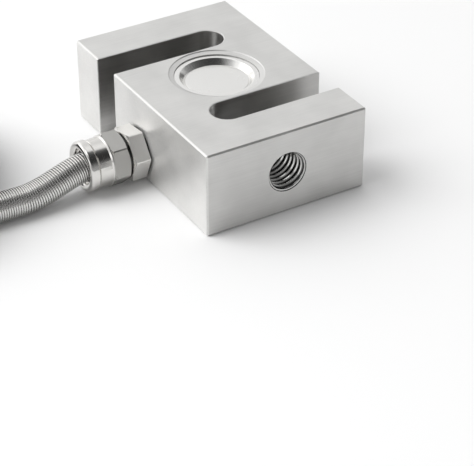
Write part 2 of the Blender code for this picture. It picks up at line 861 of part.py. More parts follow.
make_body()
make_cover("cover_upper", True)
make_cover("cover_lower", False)
for level, is_upper in (("upper", True), ("lower", False)):
    make_board(f"terminal_board_{level}", is_upper)
    for hand, side in (("left", -1), ("right", 1)):
        make_gauge(f"gauge_{level}_{hand}", is_upper, side)
        make_gauge_lead(f"gauge_lead_{level}_{hand}", is_upper, side)
make_resistor("span_resistor_left", -1)
make_resistor("span_resistor_right", 1)
for number in range(link_wire_count):
    make_link_wire(f"link_wire_{number + 1}", number)
for number, (colour, finish) in enumerate(zip(core_colours, core_finishes)):
    make_inner_core(f"core_{colour}", number, finish)
make_gasket()
make_gland_body()
make_gland_nut()
make_seal()
make_guard()
make_free_wires(make_cable())
make_strap()
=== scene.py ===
"""Looks for the strain gauge load cell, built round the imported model.

Metres, +Z up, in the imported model's frame: the origin is the middle of the body's bottom face,
the slots run along X and the load acts along Y.
"""

import math

import bmesh
import bpy
from mathutils import Matrix, Vector


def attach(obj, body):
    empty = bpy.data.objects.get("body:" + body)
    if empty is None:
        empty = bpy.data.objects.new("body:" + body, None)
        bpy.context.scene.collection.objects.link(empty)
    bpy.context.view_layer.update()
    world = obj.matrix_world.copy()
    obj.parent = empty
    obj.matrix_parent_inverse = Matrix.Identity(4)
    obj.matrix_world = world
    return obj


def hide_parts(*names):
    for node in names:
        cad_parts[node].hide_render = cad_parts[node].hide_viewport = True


mm = 0.001
tiny = 1e-9
beyond = 1.0 * mm  # how far a cutter reaches past the face that it cuts
smooth_angle = math.radians(28)  # sharper edges than this stay sharp

# How finely round forms are made
wide_sides = 96
middle_sides = 64
narrow_sides = 48
way_sides = 32
wire_hole_sides = 24
slot_steps = 40
ring_steps = 18
strap_steps = 8
lap_steps = 4
bend_steps = 5
cable_roundness = 5
wire_roundness = 3

# Camera
camera_place = (-0.2304, -0.3957, 0.2780)
camera_ahead = (0.4268, 0.7122, -0.5573)
camera_right = (0.8580, -0.5137, 0.0006)
camera_lens = 139.5
camera_sensor = 36

# Body
half_width = 25.4 * mm
half_length = 38.1 * mm
thickness = 25.4 * mm
edge_chamfer = 0.45 * mm
flat_normal = 0.95  # a face with more of its normal than this along one axis lies across it
wall_normal = 0.3  # a slot's wall has less of its normal than this along Z
side_normal = 0.1  # a face that runs along X has less of its normal than this along it
slot_offset = 19.5 * mm
slot_radius = 5.0 * mm
slot_end_x = 8.0 * mm  # from the middle of the body to the middle of a slot's round end
slot_edge = 0.2 * mm  # how deep the slots' broken edges go
slot_lip = 0.15 * mm  # how much wider these are where they meet the broad face
thread_major = 6.0 * mm
thread_minor = 5.1 * mm
crest_radius = 5.25 * mm  # the thread is bright up to here, and darkened by painted shade from root_radius
root_radius = 5.5 * mm
thread_pitch = 1.75 * mm
thread_sides = 72
thread_start = 2.04 * mm  # how far the thread form starts outside the end face
thread_turns = 9
mouth_radius = 6.05 * mm
mouth_depth = 0.2 * mm
mouth_ledge = 5.5 * mm  # the radius where the lead-in cone meets the countersink's ledge
ledge_depth = 0.25 * mm
mouth_run_out = 1.0 * mm  # how deep the lead-in cone cuts the first turn of thread
bar_depth = half_length - slot_offset - slot_radius
inner_mouth = 0.5 * mm
pocket_mouth_radius = 13.8 * mm
pocket_seat_radius = 12.2 * mm
pocket_slope_depth = 0.6 * mm
pocket_seat_depth = 1.6 * mm
pocket_lip = 0.25 * mm
cavity_radius = 11.2 * mm
cavity_depth = 11.45 * mm
gland_height = 7.9 * mm
stub_hole_radius = 6.3 * mm
stub_hole_depth = 6.7 * mm
cable_way_radius = 3.0 * mm
way_overlap = 0.5 * mm  # how far the cutter of the cable's way reaches into the cavity
wire_hole_radius = 1.4 * mm
wire_hole_x = 9.0 * mm
web_half = 1.25 * mm
foil_height = 0.42 * mm  # from the web up to the lowest point of the gauges' metal foil
pad_height = 1.15 * mm  # from the web up to the lowest point of the boards' solder pads

# Covers
cover_radius = 12.1 * mm
cover_recess = 0.9 * mm
cover_sheet = 0.5 * mm
dish_radius = 10.7 * mm
groove_radius = 9.35 * mm
groove_floor = -2.8 * mm
disc_radius = 9.0 * mm
disc_top = -2.4 * mm
cover_bend = 0.3 * mm
disc_bend = 0.2 * mm
groove_bend = 0.15 * mm

# Gland: distances out from the -X face
hex_flats = 14.0 * mm
facet_sag = 0.1 * mm  # how far a facet's middle may lie inside the form that it belongs to
body_hex_turn = math.radians(37)
nut_hex_turn = math.radians(13.5)
hex_edge = 0.12 * mm
hex_chamfer_angle = math.radians(30)
hex_chamfer_inset = 0.15 * mm  # from a flat in to the circle where the chamfer starts
gasket_low = 0.1 * mm
gasket_high = 0.5 * mm
gasket_radius = 6.9 * mm
hex_start = 0.6 * mm
hex_end = 5.6 * mm
neck_radius = 5.6 * mm
neck_end = 11.6 * mm
stub_radius = 6.0 * mm
stub_length = 6.4 * mm
end_chamfer = 0.5 * mm  # on the ends of the stub and the neck
nut_start = 6.3 * mm
nut_hex_end = 11.7 * mm
collar_radius = 7.0 * mm
collar_end = 16.1 * mm
ring_radius = 7.4 * mm
ring_round = 1.2 * mm
nut_end = 18.9 * mm
nut_mouth = 17.3 * mm
nut_groove = 0.45 * mm
nut_bead = 0.4 * mm
ring_edge = 0.12 * mm  # the ring's small bevel beside the groove
guard_clearance = 0.4 * mm
nut_bore_radius = 5.9 * mm
nut_shoulder = 13.0 * mm
nut_lip_end = 14.1 * mm
bush_start = 7.0 * mm
bush_gap = 0.3 * mm
bush_seat_radius = 4.6 * mm
cable_clearance = 0.3 * mm

# Spring guard
guard_radius = 4.2 * mm
guard_wire = 0.66 * mm
guard_pitch = 0.72 * mm
guard_start = 14.4 * mm
guard_length = 37.0 * mm
guard_bend_start = 15.5 * mm
guard_bend_length = 22.0 * mm
guard_aside = 2.0 * mm
guard_rest_height = 4.3 * mm
guard_steps = 28

# Cable and its coil
cable_radius = 2.5 * mm
cable_start = 14.1 * mm
route_step = 3.0 * mm  # between points along the cable, where it isn't coiled
coil_x = -104.0 * mm
coil_y = 34.5 * mm
lane_outer = 37.5 * mm
lane_pitch = 5.0 * mm
row_low = 3.7 * mm
coil_rows = 4
coil_lanes = 4
jog = 1 / 9  # share of a turn in which the cable moves over to the next lane or row
tail_angle = math.radians(-40)  # where the cable leaves the coil
coil_turns = 14.75 - tail_angle / (2 * math.pi)
turn_points = 48
lead_end = (-83.0 * mm, -2.4 * mm, 3.8 * mm)
core_radius = 0.45 * mm
core_spacing = 1.0 * mm
core_fan = 3.0 * mm
core_free_length = 24.0 * mm
core_hidden = 1.0 * mm  # how far the cores reach back into the sheath
core_straight = 1.8 * mm  # how far they run before they fan out
first_fan = 0.1  # how far they have fanned out by there, as a share of core_fan
fan_shares = (0.45, 0.75, 1)  # where they lie on the floor, as shares of their length
core_step = 0.8 * mm
bare_steps = 6  # of core_step, at the end of each core
strand_share = 0.6  # the bared strands' radius, as a share of the core's
floor_gap = 0.1 * mm
strap_thickness = 0.7 * mm
strap_half_width = 4.5 * mm
strap_angle = math.radians(8)
strap_half = 10.35 * mm  # from the middle of the bundle of turns to the strap
strap_bulge = 0.7 * mm  # how much further in the strap stands, over the inside of the turns
strap_corner = 2.8 * mm
strap_lap = 14.0 * mm
strap_lap_start = 3.0 * mm
strap_gap = 0.05 * mm
strap_edge = 0.15 * mm
bundle_radius = 30.0 * mm
bundle_height = 11.2 * mm
tail_route = [  # from where it leaves the coil: distance along, distance to the right, height
    (6.0 * mm, 0, 18.7 * mm),
    (16.0 * mm, 0, 17.6 * mm),
    (21.0 * mm, 0, 15.5 * mm),
    (29.0 * mm, 0.6 * mm, 10.8 * mm),
    (37.0 * mm, 2.6 * mm, 6.0 * mm),
    (45.0 * mm, 6.4 * mm, 3.2 * mm),
    (52.0 * mm, 11.5 * mm, 2.6 * mm),
]

# Finishes
noise_low = 0.3  # noise seldom goes below this, or above noise_high
noise_high = 0.7
cloud_share = 0.6  # how much of metal's colour comes from its clouds, and not its lines
line_gloss = 0.05  # how far the lines move metal's roughness, up and down
cloud_gloss = 0.03
patch_depth = 0.1  # how much darker and lighter the patches on plastic are
speck_gloss = 0.06
line_depth = 0.02 * mm
grain_depth = 0.03 * mm
crest_colour = (0.80, 0.795, 0.78, 1)
# Painted shade: the colour that the thread darkens to in its roots.
root_shade_colour = (0.10, 0.10, 0.10, 1)

# Room and light
floor_reach = 4.0
floor_drop = 0.05 * mm  # the floor lies this far under the part
back_edge = (-0.10, 0.10)  # between these, along Y, the room goes from dark to light
back_level = 0.76
front_heights = (0.10, 0.66)  # between these, along Z, its front darkens
front_level = 0.40
overhead_level = 0.04
world_lobes = [  # direction, sharpness, strength
    ((-0.62, 0.68, 0.39), 10, 1.2),
    ((0.30, 0.25, 0.90), 14, 0.35),
    ((-0.50, 0.0, 0.86), 30, 1.6),
    ((-0.90, -0.25, 0.33), 30, 1.2),
    ((0.05, 0.93, 0.36), 12, 0.5),
]
lamps = [  # name, place, size, power in watts
    ("key", (-0.60, 0.30, 0.80), 0.8, 7.4),
    ("fill", (0.05, -0.60, 0.75), 0.7, 0.8),
]
lamp_aim = (0, 0, 0.01)

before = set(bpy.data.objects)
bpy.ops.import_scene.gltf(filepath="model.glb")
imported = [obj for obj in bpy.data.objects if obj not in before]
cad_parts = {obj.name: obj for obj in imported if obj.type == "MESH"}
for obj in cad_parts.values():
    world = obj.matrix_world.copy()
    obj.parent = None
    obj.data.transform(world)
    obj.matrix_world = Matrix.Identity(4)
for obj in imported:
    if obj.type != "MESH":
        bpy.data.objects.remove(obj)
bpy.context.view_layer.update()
made = bpy.data.collections.new("looks")
bpy.context.scene.collection.children.link(made)


# Geometry helpers


def add(name, data):
    thing = bpy.data.objects.new(name, data)
    made.objects.link(thing)
    return thing


def solid(name, points, faces, place=None):
    mesh = bpy.data.meshes.new(name)
    mesh.from_pydata(points, [], faces)
    if place is not None:
        mesh.transform(place)
    return add(name, mesh)


def turned(name, profile, sides, closed=False, place=None):
    """A turned shape: profile is (radius, height) points, from the top down the outer side."""
    points = []
    rings = []
    for radius, height in profile:
        start = len(points)
        if radius < tiny:
            points.append((0, 0, height))
            rings.append([start] * sides)
            continue
        for i in range(sides):
            angle = 2 * math.pi * i / sides
            points.append((radius * math.cos(angle), radius * math.sin(angle), height))
        rings.append([start + i for i in range(sides)])
    pairs = list(zip(rings, rings[1:]))
    if closed:
        pairs.append((rings[-1], rings[0]))
    faces = []
    for upper, lower in pairs:
        for i in range(sides):
            j = (i + 1) % sides
            corners = [upper[i], lower[i], lower[j], upper[j]]
            face = list(dict.fromkeys(corners))
            if len(face) > 2:
                faces.append(face)
    return solid(name, points, faces, place)


def prism(name, outlines, place=None):
    """A solid through outlines of equal length, from the lowest to the highest."""
    points = []
    faces = []
    count = len(outlines[0][1])
    for height, outline in outlines:
        points += [(x, y, height) for x, y in outline]
    for level in range(len(outlines) - 1):
        low = level * count
        high = low + count
        for i in range(count):
            j = (i + 1) % count
            faces.append((low + i, low + j, high + j, high + i))
    faces.append(tuple(reversed(range(count))))
    faces.append(tuple(range(len(points) - count, len(points))))
    return solid(name, points, faces, place)


def arc(x, y, radius, start, end, steps):
    angles = [math.radians(start + (end - start) * i / steps) for i in range(steps + 1)]
    return [(x + radius * math.cos(a), y + radius * math.sin(a)) for a in angles]


def rounded(points, radii, steps):
    """The line again, with each inner corner as an arc of its radius."""
    line = [Vector(p) for p in points]
    out = [tuple(line[0])]
    for before, corner, after, radius in zip(line, line[1:], line[2:], radii):
        to_before = (before - corner).normalized()
        to_after = (after - corner).normalized()
        half = to_before.angle(to_after) / 2
        centre = corner + (to_before + to_after).normalized() * radius / math.sin(half)
        reach = radius / math.tan(half)
        first = corner + to_before * reach - centre
        swing = first.angle_signed(corner + to_after * reach - centre)
        for i in range(steps + 1):
            a = -swing * i / steps
            x = first.x * math.cos(a) - first.y * math.sin(a)
            y = first.x * math.sin(a) + first.y * math.cos(a)
            out.append((centre.x + x, centre.y + y))
    out.append(tuple(line[-1]))
    return out


def smooth_line(points, spacing):
    """Points about spacing apart on a smooth curve through the given ones."""
    knots = [Vector(p) for p in points]
    knots = [2 * knots[0] - knots[1], *knots, 2 * knots[-1] - knots[-2]]
    out = []
    for p0, p1, p2, p3 in zip(knots, knots[1:], knots[2:], knots[3:]):
        count = max(1, round((p2 - p1).length / spacing))
        for i in range(count):
            t = i / count
            linear = (p2 - p0) * t
            square = (2 * p0 - 5 * p1 + 4 * p2 - p3) * t**2
            cube = (3 * p1 - p0 - 3 * p2 + p3) * t**3
            out.append(0.5 * (2 * p1 + linear + square + cube))
    out.append(knots[-2])
    return out


def smoothstep(t):
    t = min(1, max(0, t))
    return t * t * (3 - 2 * t)


def tube(name, line, radius, resolution):
    data = bpy.data.curves.new(name, "CURVE")
    data.dimensions = "3D"
    data.bevel_depth = radius
    data.bevel_resolution = resolution
    data.use_fill_caps = True
    spline = data.splines.new("POLY")
    spline.points.add(len(line) - 1)
    for point, place in zip(spline.points, line):
        point.co = (*place, 1)
    spline.use_smooth = True
    return add(name, data)


def combine(target, others, operation="DIFFERENCE"):
    """Cuts the other solids from the target, or joins them to it, and takes them away."""
    for other in others:
        step = target.modifiers.new("Combine", "BOOLEAN")
        step.operation = operation
        step.object = other
        step.solver = "EXACT"
    bpy.context.view_layer.update()
    graph = bpy.context.evaluated_depsgraph_get()
    mesh = bpy.data.meshes.new_from_object(target.evaluated_get(graph))
    target.modifiers.clear()
    old = target.data
    target.data = mesh
    mesh.name = target.name
    bpy.data.meshes.remove(old)
    for other in others:
        bpy.data.objects.remove(other)
    return target


def shade(thing):
    """Smooth curved faces, with sharp edges and flat faces kept."""
    thing.data.shade_smooth()
    thing.data.set_sharp_from_angle(angle=smooth_angle)
    step = thing.modifiers.new("Normals", "WEIGHTED_NORMAL")
    step.keep_sharp = True
    step.weight = 80
    return thing


def finish_piece(thing, finish, slot, *nodes):
    """Gives a piece its material and its body, and hides the nodes that it stands for; slot is not
    used.
    """
    thing.data.materials.clear()
    thing.data.materials.append(finish)
    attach(thing, "root")
    if nodes:
        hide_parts(*nodes)
    return thing


def out_from_face():
    """A place in the gland's middle whose own Z points out from the body's -X face."""
    turn = Matrix.Rotation(-math.pi / 2, 4, "Y")
    return Matrix.Translation((-half_width, 0, gland_height)) @ turn


# Materials


def shader_node(tree, kind, settings=None, **inputs):
    made_node = tree.nodes.new(kind)
    for key, value in (settings or {}).items():
        setattr(made_node, key, value)
    for key, value in inputs.items():
        socket = made_node.inputs[int(key[1:])] if key[1:].isdigit() else made_node.inputs[key]
        if isinstance(value, bpy.types.NodeSocket):
            tree.links.new(value, socket)
        else:
            socket.default_value = value
    return made_node


def new_material(name):
    material = bpy.data.materials.new(name)
    material.use_nodes = True
    tree = material.node_tree
    return material, tree, tree.nodes["Principled BSDF"]


def place_in_object(tree, scale):
    coordinates = shader_node(tree, "ShaderNodeTexCoord")
    mapping = shader_node(
        tree, "ShaderNodeMapping", Vector=coordinates.outputs["Object"], Scale=scale
    )
    return mapping.outputs["Vector"]


def noise(tree, scale, detail=3, roughness=0.5):
    texture = shader_node(
        tree,
        "ShaderNodeTexNoise",
        Vector=place_in_object(tree, scale),
        Scale=1.0,
        Detail=detail,
        Roughness=roughness,
    )
    return texture.outputs["Fac"]


def spread(tree, value, low, high):
    """Maps a noise value, which stays near the middle, to the range low to high."""
    settings = {"clamp": True}
    return shader_node(
        tree,
        "ShaderNodeMapRange",
        settings,
        Value=value,
        **{"From Min": noise_low, "From Max": noise_high, "To Min": low, "To Max": high},
    ).outputs["Result"]


def math_node(tree, operation, first, second=0.0):
    return shader_node(
        tree, "ShaderNodeMath", {"operation": operation}, _0=first, _1=second
    ).outputs["Value"]


def mix_value(tree, share, first, second):
    settings = {"data_type": "FLOAT"}
    return shader_node(
        tree, "ShaderNodeMix", settings, Factor=share, A=first, B=second
    ).outputs["Result"]


def mix_colour(tree, share, first, second):
    """A Mix node has its colours in sockets 6 and 7, and the mixed colour in output 2."""
    settings = {"data_type": "RGBA"}
    return shader_node(
        tree, "ShaderNodeMix", settings, Factor=share, _6=first, _7=second
    ).outputs[2]


def bump(tree, height, strength, distance):
    return shader_node(
        tree, "ShaderNodeBump", Strength=strength, Distance=distance, Height=height
    ).outputs["Normal"]


def metal(name, colour, roughness, streak, strength, patch=0.03, metallic=1.0):
    """Machined or drawn metal: fine lines stretched along one axis, and faint cloudy patches."""
    material, tree, shader = new_material(name)
    lines = noise(tree, streak, 4, 0.6)
    clouds = noise(tree, (90, 90, 90), 2)
    dark = tuple(c * (1 - patch) for c in colour) + (1,)
    light = tuple(min(1, c * (1 + patch)) for c in colour) + (1,)
    from_clouds = spread(tree, clouds, 0, cloud_share)
    from_lines = spread(tree, lines, 0, 1 - cloud_share)
    share = math_node(tree, "ADD", from_clouds, from_lines)
    tree.links.new(mix_colour(tree, share, dark, light), shader.inputs["Base Color"])
    fine = spread(tree, lines, -line_gloss, line_gloss)
    broad = spread(tree, clouds, -cloud_gloss, cloud_gloss)
    both = math_node(tree, "ADD", fine, broad)
    tree.links.new(math_node(tree, "ADD", both, roughness), shader.inputs["Roughness"])
    tree.links.new(bump(tree, lines, strength, line_depth), shader.inputs["Normal"])
    shader.inputs["Metallic"].default_value = metallic
    return material


def thread_metal():
    """Cut thread: bright where the crests are, with painted shade darkening it towards the roots.
    """
    material, tree, shader = new_material("thread_steel")
    coordinates = shader_node(tree, "ShaderNodeTexCoord")
    split = shader_node(tree, "ShaderNodeSeparateXYZ", Vector=coordinates.outputs["Object"])
    height = math_node(tree, "SUBTRACT", split.outputs["Z"], thickness / 2)
    across = shader_node(tree, "ShaderNodeCombineXYZ", X=split.outputs["X"], Z=height)
    radius = shader_node(
        tree, "ShaderNodeVectorMath", {"operation": "LENGTH"}, _0=across.outputs["Vector"]
    ).outputs["Value"]
    lines = noise(tree, (500, 500, 500), 4, 0.6)
    limits = {"From Min": crest_radius, "From Max": root_radius, "To Min": 0.0, "To Max": 1.0}
    root_shade = shader_node(
        tree, "ShaderNodeMapRange", {"clamp": True}, Value=radius, **limits
    ).outputs["Result"]
    # Painted shade: from the crests down into the roots, the colour darkens.
    colour = mix_colour(tree, root_shade, crest_colour, root_shade_colour)
    tree.links.new(colour, shader.inputs["Base Color"])
    tree.links.new(spread(tree, lines, 0.10, 0.18), shader.inputs["Roughness"])
    tree.links.new(bump(tree, lines, 0.08, line_depth), shader.inputs["Normal"])
    shader.inputs["Metallic"].default_value = 1
    return material


def moulded(name, colour, roughness, grain, strength, specular=0.5):
    """Plastic, rubber or enamel with a fine grain."""
    material, tree, shader = new_material(name)
    specks = noise(tree, (grain, grain, grain), 3)
    patches = noise(tree, (60, 60, 60), 2)
    dark = tuple(c * (1 - patch_depth) for c in colour) + (1,)
    light = tuple(min(1, c * (1 + patch_depth)) for c in colour) + (1,)
    tree.links.new(
        mix_colour(tree, spread(tree, patches, 0, 1), dark, light), shader.inputs["Base Color"]
    )
    tree.links.new(
        spread(tree, specks, roughness - speck_gloss, roughness + speck_gloss),
        shader.inputs["Roughness"],
    )
    tree.links.new(bump(tree, specks, strength, grain_depth), shader.inputs["Normal"])
    shader.inputs["Specular IOR Level"].default_value = specular
    return material


ground = {
    "roughness": 0.38,
    "streak": (60, 2200, 2200),
    "strength": 0.15,
    "patch": 0.10,
    "metallic": 0.7,
}
steel = metal("ground_steel", (0.63, 0.627, 0.615), **ground)
# Painted light: a lighter copy of the ground steel, for the body's faces at the ends along X, to
# brighten that side.
painted_light_side_steel = metal("painted_light_side_steel", (0.77, 0.765, 0.75), **ground)
milled = metal("milled_steel", (0.50, 0.495, 0.485), 0.34, (30, 1400, 1400), 0.4, 0.15)
threaded = thread_metal()
pressed = metal("pressed_steel", (0.82, 0.815, 0.80), 0.22, (600, 600, 600), 0.02, 0.02)
nickel = metal("nickel_plate", (0.70, 0.69, 0.67), 0.14, (900, 900, 900), 0.05)
# Painted light: a lighter copy of the nickel finish for the flats of the gland body's hexagon.
painted_light_flats = metal("painted_light_flats", (0.84, 0.83, 0.81), 0.42, (700, 700, 700), 0.12)
# Painted shade: a darker copy of the nickel finish for the flats of the nut's hexagon.
painted_shade_flats = metal("painted_shade_flats", (0.46, 0.455, 0.44), 0.38, (700, 700, 700), 0.12)
# Painted shade: the neck, seen in the gap between the two hexagons, is coloured nearly black to
# stand for the shade there.
painted_shade_neck = metal("neck_painted_shade", (0.10, 0.10, 0.10), 0.35, (700, 700, 700), 0.12)
guard_steel = metal("spring_wire", (0.72, 0.715, 0.70), 0.22, (700, 700, 700), 0.05)
sheath = moulded("cable_sheath", (0.035, 0.035, 0.037), 0.45, 1800, 0.12)
rubber = moulded("dark_rubber", (0.02, 0.02, 0.02), 0.7, 2500, 0.3, 0.3)
strap_cloth = moulded("strap_cloth", (0.025, 0.025, 0.028), 0.85, 3000, 0.8, 0.2)
core_finishes = {
    "red": moulded("core_red", (0.55, 0.02, 0.02), 0.35, 3000, 0.05),
    "black": moulded("core_black", (0.02, 0.02, 0.02), 0.35, 3000, 0.05),
    "green": moulded("core_green", (0.02, 0.30, 0.08), 0.35, 3000, 0.05),
    "white": moulded("core_white", (0.78, 0.78, 0.75), 0.35, 3000, 0.05),
}
tinned = metal("tinned_strands", (0.72, 0.70, 0.66), 0.35, (3000, 3000, 3000), 0.2)


# Body


def slot_outline(grow):
    """A slot that is open on +X, with its walls moved out by grow."""
    half = slot_radius + grow
    far = half_width + beyond
    flare = slot_edge + beyond
    outline = arc(-slot_end_x, 0, half, 90, 270, slot_steps)
    outline.append((half_width - slot_edge, -half))
    outline.append((far, -half - flare))
    outline.append((far, half + flare))
    outline.append((half_width - slot_edge, half))
    return outline


def slot_cutter(side):
    outer = slot_edge + slot_lip
    levels = [
        (-beyond, slot_outline(outer + 2 * beyond)),
        (0, slot_outline(outer)),
        (slot_lip / 2, slot_outline(slot_edge)),
        (slot_edge, slot_outline(0)),
        (thickness - slot_edge, slot_outline(0)),
        (thickness - slot_lip / 2, slot_outline(slot_edge)),
        (thickness, slot_outline(outer)),
        (thickness + beyond, slot_outline(outer + 2 * beyond)),
    ]
    turn = Matrix.Rotation(0 if side < 0 else math.pi, 4, "Z")
    return prism("cut_slot", levels, Matrix.Translation((0, side * slot_offset, 0)) @ turn)


def threaded_rod(name, place):
    """A rod with a right-hand screw thread, for cutting a threaded bore; it runs up from z = 0."""
    form = [  # share of the pitch, radius
        (0.0, thread_minor),
        (0.22, thread_minor),
        (0.54, thread_major),
        (0.68, thread_major),
    ]
    total = thread_sides * thread_turns
    points = []
    for i in range(total + 1):
        angle = 2 * math.pi * i / thread_sides
        for rise, radius in form:
            z = thread_pitch * (i / thread_sides + rise)
            points.append((radius * math.cos(angle), radius * math.sin(angle), z))
    count = len(form)
    last = count - 1

    def at(i, j):
        return i * count + j

    faces = []
    for i in range(total):
        for j in range(last):
            faces.append((at(i, j), at(i + 1, j), at(i + 1, j + 1), at(i, j + 1)))
        above = i + thread_sides
        if above < total:
            faces.append((at(i, last), at(i + 1, last), at(above + 1, 0), at(above, 0)))
    low = [at(i, 0) for i in range(thread_sides + 1)] + [at(0, j) for j in range(last, 0, -1)]
    high = [at(i, last) for i in range(total - thread_sides, total + 1)]
    high += [at(total, j) for j in range(last - 1, -1, -1)]
    low_middle = len(points)
    points.append((0, 0, thread_pitch / 2))
    high_middle = len(points)
    points.append((0, 0, thread_pitch * (thread_turns + 0.5)))
    for i, first in enumerate(low):
        faces.append((low[(i + 1) % len(low)], first, low_middle))
    for i, first in enumerate(high):
        faces.append((first, high[(i + 1) % len(high)], high_middle))
    return solid(name, points, faces, place)


def bore_place(side):
    """A place in the middle of an end face whose own Z points into the body."""
    turn = Matrix.Rotation(side * math.pi / 2, 4, "X")
    return Matrix.Translation((0, side * half_length, thickness / 2)) @ turn


def bore_cutters(side):
    place = bore_place(side)
    rod = threaded_rod("cut_thread", place @ Matrix.Translation((0, 0, -thread_start)))
    mouth = [
        (0, mouth_run_out),
        (thread_minor, mouth_run_out),
        (mouth_ledge, ledge_depth),
        (mouth_radius - mouth_depth, mouth_depth),
        (mouth_radius, 0),
        (mouth_radius + beyond, -beyond),
        (0, -beyond),
    ]
    outer = turned("cut_mouth", mouth, middle_sides, place=place)
    inner = [
        (0, bar_depth + beyond),
        (thread_minor + inner_mouth + beyond, bar_depth + beyond),
        (thread_minor, bar_depth - inner_mouth),
        (0, bar_depth - inner_mouth),
    ]
    return [rod, outer, turned("cut_inner_mouth", inner, middle_sides, place=place)]


def pocket_cutter(upper):
    profile = [
        (0, beyond),
        (pocket_mouth_radius + beyond, beyond),
        (pocket_mouth_radius - pocket_lip, -pocket_lip),
        (pocket_seat_radius, -pocket_slope_depth),
        (pocket_seat_radius, -pocket_seat_depth),
        (cavity_radius, -pocket_seat_depth),
        (cavity_radius, -cavity_depth),
        (0, -cavity_depth),
    ]
    return turned("cut_pocket", profile, wide_sides, place=face_place(upper))


def face_place(upper):
    """A place in the middle of the upper or lower broad face whose own Z points out of it."""
    if upper:
        return Matrix.Translation((0, 0, thickness))
    return Matrix.Rotation(math.pi, 4, "X")


def rod_cutter(name, radius, high, low, sides, place):
    """A plain round cutter from one height down to another."""
    profile = [(0, high), (radius, high), (radius, low), (0, low)]
    return turned(name, profile, sides, place=place)


def make_block():
    shape = bmesh.new()
    bmesh.ops.create_cube(shape, size=1)
    bmesh.ops.scale(shape, vec=(2 * half_width, 2 * half_length, thickness), verts=shape.verts)
    bmesh.ops.translate(shape, vec=(0, 0, thickness / 2), verts=shape.verts)
    bmesh.ops.bevel(
        shape, geom=shape.edges[:], offset=edge_chamfer, segments=1, affect="EDGES"
    )
    mesh = bpy.data.meshes.new("body")
    shape.to_mesh(mesh)
    shape.free()
    return add("body", mesh)


def body_finish(face):
    """The finish of one face of the body, from where it lies and which way it looks; the faces at
    the ends along X get a lighter copy of the steel, which is painted light.
    """
    middle = face.center
    from_slot = abs(abs(middle.y) - slot_offset)
    if from_slot < slot_radius + slot_lip and abs(face.normal.z) < wall_normal:
        return milled
    from_bore = math.hypot(middle.x, middle.z - thickness / 2)
    in_bar = abs(middle.y) > slot_offset + slot_radius
    if in_bar and from_bore < thread_major and abs(face.normal.y) < flat_normal:
        return threaded
    # The end faces along X take the lighter copy of the steel: painted light.
    if abs(middle.x) > half_width - edge_chamfer and abs(face.normal.x) > flat_normal:
        return painted_light_side_steel
    return steel


def make_body():
    body = make_block()
    out = out_from_face()
    reach = math.sqrt(cavity_radius**2 - cable_way_radius**2) - way_overlap
    in_web = Matrix.Translation((wire_hole_x, 0, thickness / 2))
    cutters = [slot_cutter(-1), slot_cutter(1)]
    cutters += [pocket_cutter(True), pocket_cutter(False)]
    cutters += bore_cutters(-1) + bore_cutters(1)
    cutters += [
        rod_cutter("cut_seat", stub_hole_radius, beyond, -stub_hole_depth, narrow_sides, out),
        rod_cutter("cut_way", cable_way_radius, 0, reach - half_width, way_sides, out),
        rod_cutter(
            "cut_wire_hole", wire_hole_radius, 2 * web_half, -2 * web_half, wire_hole_sides, in_web
        ),
    ]
    combine(body, cutters)
    finish_piece(shade(body), steel, "body_steel", "s_body")
    finishes = [steel, milled, threaded, painted_light_side_steel]
    for finish in finishes[1:]:
        body.data.materials.append(finish)
    for face in body.data.polygons:
        face.material_index = finishes.index(body_finish(face))
    return body


def make_cover(name, node, upper):
    """A cover pressed from sheet: a flange, a groove and a raised disc."""
    line = [
        (0, disc_top),
        (disc_radius, disc_top),
        (groove_radius, groove_floor),
        (dish_radius, -cover_recess),
        (cover_radius, -cover_recess),
    ]
    top = rounded(line, [disc_bend, groove_bend, cover_bend], bend_steps)
    cover = turned(name, top, wide_sides, place=face_place(upper))
    sheet = cover.modifiers.new("Sheet", "SOLIDIFY")
    sheet.thickness = cover_sheet
    sheet.offset = -1
    sheet.use_even_offset = True
    combine(cover, [])
    return finish_piece(shade(cover), pressed, "cover_steel", node)


# Gland


def hexagon(name, low, high, turn, chamfer_low, chamfer_high):
    """A hexagonal bar with lightly broken edges, its corners turned off at 30 degrees."""
    corner = hex_flats / math.sqrt(3)
    broken = corner - hex_edge
    outline = []
    for k in range(6):
        angle = turn + k * math.pi / 3
        along = Vector((-math.sin(angle), math.cos(angle)))
        middle = Vector((math.cos(angle), math.sin(angle))) * broken
        step = hex_edge * math.tan(math.radians(60))
        for way in (-1, 1):
            point = middle + along * way * step
            outline.append((point.x, point.y))
    bar = prism(name, [(low, outline), (high, outline)], out_from_face())
    wide = corner + beyond
    drop = (wide - hex_flats / 2) * math.tan(hex_chamfer_angle)
    circle = hex_flats / 2 - hex_chamfer_inset
    if chamfer_high:
        profile = [(0, high), (circle, high), (wide, high - drop)]
    else:
        profile = [(0, high + beyond), (wide, high + beyond)]
    if chamfer_low:
        profile += [(wide, low + drop), (circle, low), (0, low)]
    else:
        profile += [(wide, low - beyond), (0, low - beyond)]
    turned_shape = turned("corners", profile, wide_sides, place=out_from_face())
    return combine(bar, [turned_shape], "INTERSECT")


def give_finish(thing, finish, low, high, radius):
    """Another finish for faces that run along X, between two distances out and past a radius."""
    thing.data.materials.append(finish)
    index = len(thing.data.materials) - 1
    for face in thing.data.polygons:
        out = -half_width - face.center.x
        away = math.hypot(face.center.y, face.center.z - gland_height)
        if low < out < high and abs(face.normal.x) < side_normal and away > radius:
            face.material_index = index


def make_gasket():
    profile = [
        (gasket_radius, gasket_high),
        (gasket_radius, gasket_low),
        (stub_hole_radius, gasket_low),
        (stub_hole_radius, gasket_high),
    ]
    gasket = turned("gasket", profile, middle_sides, closed=True, place=out_from_face())
    return finish_piece(shade(gasket), rubber, "seal_rubber", "gland_gasket")


